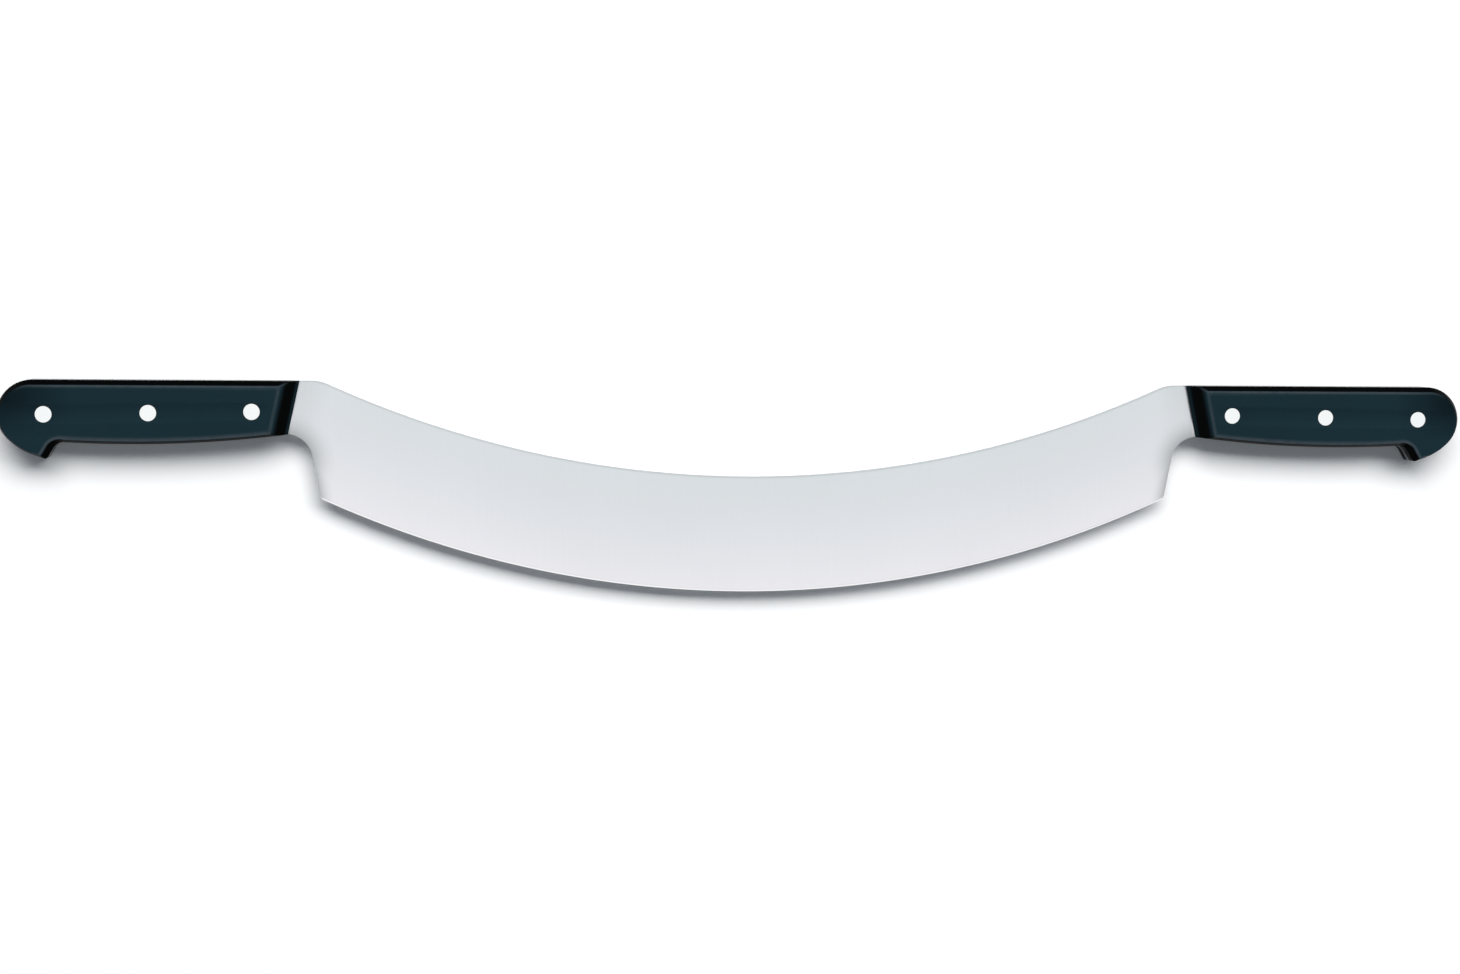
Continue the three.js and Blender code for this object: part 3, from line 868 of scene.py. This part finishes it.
    def drilled(self, plan, x, y, front, back):
        """The rivet holes: their walls, their faces, and the cells of the grid that stay whole.

        Each hole takes a window out of both sheets. What is left of the window is filled between
        its edge and the hole's circle, and a wall joins the two circles."""
        whole = np.ones((front.shape[0] - 1, front.shape[1] - 1), bool)
        plane = np.column_stack([np.repeat(x, y.shape[1]), y.ravel()])
        profile = [(plan.bore, -plan.face), (plan.bore, plan.face)]
        walls, faces, first = [], [], front.size + back.size
        for centre in np.concatenate([plan.rivets * [across, 1.0] for across in SIDES.values()]):
            left, right, bottom, top = self.window(x, y, centre, HOLE_ROOM * plan.bore)
            whole[left:right, bottom:top] = False
            wall, wall_faces = turned(profile, centre)
            circle = np.arange(len(wall) // 2)
            faces += [block[:, ::-1] + first for block in wall_faces]
            for sheet, ring, facing in ((front, circle + len(circle), 1.0), (back, circle, -1.0)):
                around = np.concatenate([sheet[left:right, bottom], sheet[right, bottom:top],
                                         sheet[right:left:-1, top], sheet[left, top:bottom:-1]])
                edge = (plane[around % front.size], around)
                faces.append(filled([edge, (wall[circle, :2], ring + first)], facing))
            walls.append(wall)
            first += len(wall)
        return np.concatenate(walls), faces, whole

    def surface(self, plan):
        """Points, faces and marks: two sheets at plus and minus half the thickness, joined round.

        The thickness falls off at the spine's rim by a quarter circle."""
        blade = plan.blade
        x, y, high = self.grid(plan)
        xs = np.broadcast_to(x[:, None], y.shape)
        into = np.clip(1 - (high - y) / blade.rim, 0.0, 1.0)
        tall = self.half_thickness(plan, xs, y) * self.choil_fall(plan, xs, y)
        tall = tall - blade.rim * (1 - np.sqrt(1 - RIM_SHARE * np.square(into)))
        front = np.arange(y.size).reshape(y.shape)
        back = front + y.size
        walls, faces, whole = self.drilled(plan, x, y, front, back)
        for sheet, turn in ((front, 1), (back, -1)):
            quads = np.stack([sheet[:-1, :-1], sheet[1:, :-1], sheet[1:, 1:], sheet[:-1, 1:]], -1)
            faces.append(quads[whole][:, ::turn])
        for one, other in ((back[:, 0], front[:, 0]), (front[:, -1], back[:, -1]),
                           (front[0], back[0]), (back[-1], front[-1])):
            faces.append(strip(one, other, False))
        points = np.concatenate([
            np.stack([xs, y, tall], -1).reshape(-1, 3),
            np.stack([xs, y, -tall], -1).reshape(-1, 3),
            walls,
        ])
        in_hole = {"edge_mark": 0.0, "grind": 0.0, "rounding": 0.0, "tang": 1.0}
        marks = {name: np.append(np.tile(values.ravel(), 2), np.full(len(walls), in_hole[name]))
                 for name, values in self.marks(plan, xs, y, high).items()}
        return points, faces, marks

    def execute(self, context):
        plan = Plan(context.scene)
        points, faces, marks = self.surface(plan)
        make_piece("crescent_blade", plan.placed(points), faces, steel_material(plan.blade),
                   "blade", marks)
        return {"FINISHED"}


class KNIFE_OT_scales(bpy.types.Operator):
    """Build the four moulded scales"""

    bl_idname = "knife.scales"
    bl_label = "Moulded scales"

    @staticmethod
    def softened(height, wall, slope, handle, soft):
        """How far a bevelled side lies inside its outline at each height.

        It is nought up the wall, then a straight bevel of that slope. A circle of the crease
        radius joins the two, and a larger one turns the bevel into the face over the height
        soft."""
        top, crease = handle.thick, handle.crease
        lean = math.atan(slope)
        reach = crease * math.tan(lean / 2)
        start = wall - reach
        inset = np.maximum(0.0, height - wall) * slope
        bend = np.clip(height - start, 0.0, crease)
        in_crease = (height > start) & (height < wall + reach * math.cos(lean))
        inset = np.where(in_crease, crease - np.sqrt(crease**2 - bend**2), inset)
        run = soft / math.cos(lean)
        radius = run / math.tan((UP - lean) / 2)
        below = np.clip(top - height, 0.0, soft)
        rolled = (top - wall) * slope + run - np.sqrt(2 * radius * below - below**2)
        return np.where(height > top - soft, rolled, inset)

    def heights(self, handle):
        """Levels of the rings, close together in the creases and under the face."""
        crease, wall = handle.crease, handle.front_wall
        chamfer, low = handle.thick - handle.bevel_depth, handle.thick - handle.soft
        bend = crease * np.linspace(-0.55, 0.35, 8)
        return np.unique(np.concatenate([
            [0.0, crease / 2],
            wall + bend,
            np.linspace(wall + 1.5 * crease, chamfer - crease, 5),
            chamfer + bend,
            np.linspace(chamfer + crease, low - crease / 4, 4),
            handle.thick - handle.soft * np.square(np.linspace(1.0, 0.0, 12)),
        ]))

    def marks(self, plan, levels, front, around):
        """Painted highlight of the rubbed line, and how slate each ring is, point for point.

        Both are smooth steps of the height, and along the front end of the inset there, at whose
        foot the slate shows again. Short of the slate the bevels are near-black, partly painted
        shade. The highlight fades out round the butt, and runs on down the mitre of the upper
        corner."""
        handle = plan.handle
        low = handle.thick - handle.soft
        rising = np.clip((levels - low) / handle.soft, 0.0, 1.0)
        line = smooth_step(rising, *RUBBED_HIGHLIGHT)
        line[-1] = 0.0
        tip = BELLY_STEPS + HOOK_STEPS + INNER_STEPS + TIP_STEPS
        corner = around - FRONT_STEPS
        back = corner - BACK_STEPS
        stops = {0: BELLY_HIGHLIGHT, BELLY_STEPS: BELLY_HIGHLIGHT, tip: BEAK_HIGHLIGHT, tip + TIP_FADE: 0.0,
                 back - BACK_FADE[0]: 0.0, back + BACK_FADE[1]: BACK_HIGHLIGHT, corner: BACK_HIGHLIGHT,
                 corner + 1: FRONT_HIGHLIGHT, around: FRONT_HIGHLIGHT}
        worn = line[:, None] * np.interp(np.arange(around), list(stops), list(stops.values()))
        # Painted highlight down the mitre of the upper corner
        mitre = MITRE_HIGHLIGHT * smooth_step(levels, low - MITRE, low)
        worn[:, corner] = np.maximum(worn[:, corner], mitre)
        face = np.repeat(smooth_step(rising, *SLATE)[:, None], around, 1)
        foot = FOOT_SLATE * smooth_step(front, *FOOT_FADE)
        face[:, corner:] = np.maximum(smooth_step(front[-1] - front, *FRONT_FADE), foot)[:, None]
        return worn, face

    def surface(self, plan):
        """One scale for the front of the right handle: points, faces and marks.

        Rings of the outline stand on each other up the bevelled sides, and both flat faces are
        filled round the stepped bores of the rivets."""
        handle, rivet = plan.handle, plan.rivet
        levels = self.heights(handle)
        inset = self.softened(levels, handle.thick - handle.bevel_depth, 1.0, handle, handle.soft)
        share = inset / handle.bevel_depth
        slope = handle.front_bevel / (handle.thick - handle.front_wall)
        front = self.softened(levels, handle.front_wall, slope, handle, handle.front_soft)
        rings = [plan.handle_outline(a, b) for a, b in zip(share, front)]
        rings.append(plan.handle_outline(share[-1], front[-1] + handle.highlight_width,
                                         handle.highlight_width))
        rings = np.stack(rings)
        levels, front = np.append(levels, handle.thick), np.append(front, front[-1])
        count, around = rings.shape[:2]
        points = [np.column_stack([rings.reshape(-1, 2), np.repeat(levels, around)])]
        grid = np.arange(count * around).reshape(count, around)
        faces = [strip(grid[i], grid[i + 1], True) for i in range(count - 1)]
        worn, face = self.marks(plan, levels, front, around)
        highlight_marks, face_marks = [worn.ravel()], [face.ravel()]

        seat = handle.thick - rivet.recess - rivet.head_thick - rivet.seat_gap
        wide = rivet.head / 2 + rivet.clearance
        bore = [(plan.bore, 0.0), (plan.bore, seat), (wide, seat)]
        bore += [(wide + out * EDGE_BREAK, handle.thick - down * EDGE_BREAK)
                 for out, down in ((0.0, 1.0), (0.3, 0.3), (1.0, 0.0))]
        first = count * around
        tops, floors = [(rings[-1], grid[-1])], [(rings[0], grid[0])]
        for centre in plan.rivets:
            wall, wall_faces = turned(bore, centre)
            numbers = np.arange(first, first + len(wall)).reshape(len(bore), -1)
            outline = wall[:, :2].reshape(*numbers.shape, 2)
            tops.append((outline[-1], numbers[-1]))
            floors.append((outline[0], numbers[0]))
            points.append(wall)
            faces += [block[:, ::-1] + first for block in wall_faces]
            highlight_marks.append(np.zeros(len(wall)))
            face_marks.append((wall[:, 2] > handle.thick - EDGE_BREAK / 2).astype(float))
            first += len(wall)
        faces += [filled(tops, 1.0), filled(floors, -1.0)]
        points = np.concatenate(points) + [0.0, 0.0, plan.face]
        return points, faces, {"edge_mark": np.concatenate(highlight_marks),
                               "face_mark": np.concatenate(face_marks)}

    def execute(self, context):
        plan = Plan(context.scene)
        plastic = plastic_material(plan)
        points, faces, marks = self.surface(plan)
        for side, across in SIDES.items():
            for name, over in FACES.items():
                node = f"{side}_{name}_scale"
                moved, moved_faces = mirrored(points, faces, across, over)
                make_piece(f"{node}_moulding", plan.placed(moved), moved_faces, plastic,
                           node, marks)
        return {"FINISHED"}


class KNIFE_OT_rivets(bpy.types.Operator):
    """Build the rivets, each a headed post in a headed socket"""

    bl_idname = "knife.rivets"
    bl_label = "Cutler's rivets"

    @staticmethod
    def head(radius, top, seat, rim):
        """A head's profile: up from its seat, round the rim by a quarter circle, to a low dome."""
        turn = np.linspace(0.0, UP, 6)
        shoulder = np.stack([radius - rim + rim * np.cos(turn),
                             top - DOME - rim + rim * np.sin(turn)], 1)
        share = np.linspace(1.0, 0.0, 6)[1:]
        dome = np.stack([(radius - rim) * share, top - DOME * share**2], 1)
        return [(radius, seat), *map(tuple, shoulder), *map(tuple, dome)]

    def execute(self, context):
        plan = Plan(context.scene)
        rivet, handle = plan.rivet, plan.handle
        steel = rivet_material(rivet)
        top = plan.face + handle.thick - rivet.recess
        seat = top - rivet.head_thick
        post, socket = rivet.post / 2, rivet.socket / 2
        bore = post + rivet.clearance
        foot, mouth = rivet.post_gap - seat, seat - rivet.socket_gap
        head = self.head(rivet.head / 2, top, seat, rivet.rim)
        profiles = {
            "post": [(0.0, foot), (post - EDGE_BREAK, foot), (post, foot + EDGE_BREAK),
                     (post, seat), *head],
            "socket": [*((radius, -height) for radius, height in head[::-1]), (socket, -seat),
                       (socket, mouth), (bore, mouth), (bore, -seat), (0.0, -seat)],
        }
        for side, across in SIDES.items():
            for place, centre in zip(PLACES, plan.rivets):
                for kind, profile in profiles.items():
                    node = f"{side}_{place}_rivet_{kind}"
                    points, faces = turned(profile, centre * [across, 1.0])
                    make_piece(f"{node}_turning", plan.placed(points), faces, steel,
                               node)
        return {"FINISHED"}


class KNIFE_OT_stage(bpy.types.Operator):
    """Set up the pale floor, the soft light and the camera"""

    bl_idname = "knife.stage"
    bl_label = "Studio"

    def floor(self, settings):
        """A square sheet: a grid of four corners at the level of the surface below the knife."""
        material, nodes, surface = new_material("pale floor")
        paint = nodes.add("ShaderNodeBsdfDiffuse", color=rgba(settings.floor))
        _, seen = nodes.seen()
        lift = nodes.add("ShaderNodeEmission", color=rgba(settings.floor),
                         strength=nodes.math("MULTIPLY", seen, settings.floor_lift))
        both = nodes.add("ShaderNodeAddShader", _0=paint.outputs[0], _1=lift.outputs[0])
        nodes.tree.links.new(both.outputs[0], surface)
        half = settings.floor_size / 2
        corners = np.array([[-1, -1, 0], [1, -1, 0], [1, 1, 0], [-1, 1, 0]], float) * half
        mesh = bpy.data.meshes.new("floor")
        mesh.from_pydata(corners.tolist(), [], [(0, 1, 2, 3)])
        mesh.materials.append(material)
        sheet = bpy.data.objects.new("floor", mesh)
        bpy.context.scene.collection.objects.link(sheet)

    def light(self, settings):
        """A broad soft light behind the spine, high over the knife, that faces its middle."""
        lamp = bpy.data.lights.new("key", "AREA")
        lamp.shape, lamp.energy = "RECTANGLE", settings.key_power
        lamp.size, lamp.size_y = settings.key_wide, settings.key_tall
        key = bpy.data.objects.new("key", lamp)
        key.location = KEY_PLACE
        key.visible_glossy = False
        key.rotation_euler = (-Vector(key.location)).to_track_quat("-Z", "Y").to_euler()
        bpy.context.scene.collection.objects.link(key)

    def world(self, settings):
        """A room that lights evenly, and that the camera and polished metal see as pale."""
        world = bpy.data.worlds.new("studio")
        world.use_nodes = True
        world.node_tree.nodes.clear()
        nodes = Nodes(world.node_tree)
        camera, seen = nodes.seen()
        ray = nodes.add("ShaderNodeTexCoord").outputs["Generated"]
        up = nodes.add("ShaderNodeSeparateXYZ", vector=ray).outputs["Z"]
        room = nodes.mix(camera, nodes.ramp(up, *ROOM_RISE, *ROOM_LEVEL), rgba((1.0, 1.0, 1.0)))
        light = nodes.mix(seen, rgba(settings.fill), room)
        shade = nodes.add("ShaderNodeBackground", color=light, strength=1.0)
        out = nodes.add("ShaderNodeOutputWorld")
        world.node_tree.links.new(shade.outputs[0], out.inputs["Surface"])
        bpy.context.scene.world = world

    def camera(self, settings):
        """The camera, from its place and the directions of its right, upper and rear side."""
        lens = bpy.data.cameras.new("camera")
        lens.lens, lens.sensor_width, lens.sensor_fit = settings.lens, 36.0, "HORIZONTAL"
        lens.clip_start, lens.clip_end = 0.01, 100.0
        eye = bpy.data.objects.new("camera", lens)
        axes = Matrix(CAMERA_AXES).transposed()
        eye.matrix_world = Matrix.Translation(CAMERA_PLACE) @ axes.to_4x4()
        bpy.context.scene.collection.objects.link(eye)
        bpy.context.scene.camera = eye

    def execute(self, context):
        settings = context.scene.knife_stage
        self.floor(settings)
        self.light(settings)
        self.world(settings)
        self.camera(settings)
        context.scene.view_settings.view_transform = "Standard"
        return {"FINISHED"}


class KNIFE_PT_panel(bpy.types.Panel):
    """Sizes, colours and steps of the knife"""

    bl_idname = "KNIFE_PT_panel"
    bl_label = "Two-handled cheese knife"
    bl_space_type = "VIEW_3D"
    bl_region_type = "UI"
    bl_category = "Knife"

    def draw(self, context):
        for operator in OPERATORS:
            self.layout.operator(operator.bl_idname)
        for label in GROUPS:
            settings = getattr(context.scene, label)
            box = self.layout.box()
            box.label(text=settings.bl_rna.description)
            for name in settings.__annotations__:
                box.prop(settings, name)


GROUPS = {
    "knife_blade": BladeSettings,
    "knife_handle": HandleSettings,
    "knife_rivet": RivetSettings,
    "knife_stage": StageSettings,
}
OPERATORS = (KNIFE_OT_blade, KNIFE_OT_scales, KNIFE_OT_rivets, KNIFE_OT_stage)


def register():
    for settings in GROUPS.values():
        bpy.utils.register_class(settings)
    for label, settings in GROUPS.items():
        setattr(bpy.types.Scene, label, PointerProperty(type=settings))
    for item in (*OPERATORS, KNIFE_PT_panel):
        bpy.utils.register_class(item)


def unregister():
    for item in (KNIFE_PT_panel, *reversed(OPERATORS)):
        bpy.utils.unregister_class(item)
    for label in GROUPS:
        delattr(bpy.types.Scene, label)
    for settings in reversed(GROUPS.values()):
        bpy.utils.unregister_class(settings)


def main():
    """Registers the add-on, and builds every piece and the studio."""
    register()
    bpy.ops.knife.blade()
    bpy.ops.knife.scales()
    bpy.ops.knife.rivets()
    bpy.ops.knife.stage()


if __name__ == "__main__":
    main()
